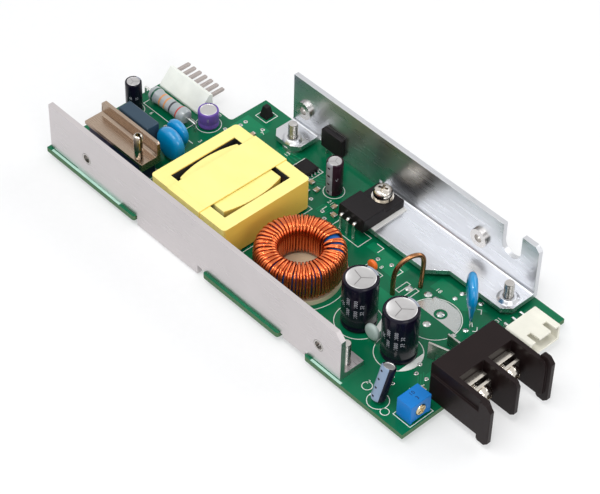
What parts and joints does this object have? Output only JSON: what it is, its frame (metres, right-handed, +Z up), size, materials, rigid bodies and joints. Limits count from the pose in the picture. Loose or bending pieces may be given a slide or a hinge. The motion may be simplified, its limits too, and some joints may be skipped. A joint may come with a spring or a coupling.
{
  "type": "open-frame switching power supply",
  "caption": "Open-frame switching power supply: long board between a low side plate and a slotted heat bracket, with choke, transformer and screw terminal.",
  "frame": {"origin": "under the middle of the whole part, on the plane of the mounting screws' heads that it stands on", "axes": "+X along the board from the pin header to the screw terminal, +Y from the side plate to the heat bracket, +Z up from the board"},
  "size_m": [0.1622, 0.0612, 0.0236],
  "materials": {
    "board_laminate": "glossy green solder resist over glass laminate",
    "solder": "bright reflowed solder",
    "tinned_copper": "tinned copper",
    "sheet_aluminium": "fine brushed mill finish",
    "zinc_steel": "zinc plated",
    "nickel_steel": "nickel plated",
    "lead_wire": "tinned wire",
    "thermal_pad": "matt filled silicone",
    "black_mould": "fine spark-eroded moulding",
    "ferrite": "ground ferrite",
    "brown_bobbin": "brown moulded resin",
    "yellow_tape": "yellow polyester tape",
    "blue_coating": "blue epoxy coating",
    "enamelled_copper": "enamelled copper wire",
    "beige_base": "beige moulded base",
    "can_aluminium": "drawn aluminium",
    "black_sleeve": "shrunk black film",
    "purple_sleeve": "shrunk purple film",
    "maroon_sleeve": "shrunk dark maroon film",
    "black_terminal": "satin black moulding",
    "cream_moulding": "satin cream moulding",
    "white_moulding": "satin white moulding",
    "blue_trimmer": "blue moulding",
    "film_case": "dark blue-grey case",
    "navy_mould": "navy epoxy moulding",
    "tan_plate": "chromated sheet",
    "resistor_lacquer": "lacquered film resistor",
    "blue_epoxy": "dipped blue epoxy",
    "grey_epoxy": "dipped grey-green epoxy",
    "orange_epoxy": "dipped orange epoxy",
    "chip_ceramic": "fired ceramic",
    "shunt_alloy": "resistance alloy"
  },
  "bodies": {
    "supply": {"circuit_board": "board_laminate", "solder_joints": "solder", "plated_area": "tinned_copper", "near_side_plate": "sheet_aluminium", "far_bracket": "sheet_aluminium", "clinch_nuts": "zinc_steel", "bracket_spacers": "sheet_aluminium", "mounting_screws": "zinc_steel", "transistor_pad": "thermal_pad", "transistor_body": "black_mould", "transistor_leads": "lead_wire", "transistor_washers": "nickel_steel", "transistor_screw": "nickel_steel", "slim_device": "black_mould", "slim_device_leads": "lead_wire", "transformer_core_halves": "ferrite", "transformer_bobbin": "brown_bobbin", "transformer_winding": "yellow_tape", "transformer_wrap_tape": "yellow_tape", "transformer_centre_tape": "yellow_tape", "choke_core": "blue_coating", "choke_winding": "enamelled_copper", "choke_base": "beige_base", "choke_leads": "enamelled_copper", "output_capacitor_cans": "can_aluminium", "output_capacitor_sleeves": "black_sleeve", "squat_capacitor_can": "can_aluminium", "squat_capacitor_sleeve": "purple_sleeve", "driver_capacitor": "maroon_sleeve", "input_capacitor": "black_sleeve", "leaning_capacitor": "black_sleeve", "leaning_capacitor_leads": "lead_wire", "terminal_housing": "black_terminal", "terminal_clamps": "nickel_steel", "terminal_screws": "nickel_steel", "terminal_washers": "nickel_steel", "socket_housing": "cream_moulding", "socket_pins": "lead_wire", "header_housing": "white_moulding", "header_pins": "lead_wire", "trimmer_body": "blue_trimmer", "film_capacitor": "film_case", "rectifier_block": "navy_mould", "heat_spreader": "tan_plate", "spreader_clip": "nickel_steel", "resistor_body": "resistor_lacquer", "resistor_leads": "lead_wire", "blue_disc_capacitors": "blue_epoxy", "grey_disc_capacitor": "grey_epoxy", "orange_disc_capacitor": "orange_epoxy", "disc_leads": "lead_wire", "wire_link": "enamelled_copper", "driver_chip": "black_mould", "driver_chip_leads": "lead_wire", "chip_part_bodies": "chip_ceramic", "chip_part_ends": "solder", "post_cap": "black_mould", "current_shunt": "shunt_alloy"},
    "adjuster": {"trimmer_rotor": "nickel_steel"}
  },
  "joints": [
    {"name": "trimmer_turn", "type": "hinge", "parent": "supply", "child": "adjuster", "pos_m": [0.0639, -0.0231, 0.0071], "axis": [1, 0, 0], "range_deg": [-130, 130]}
  ]
}
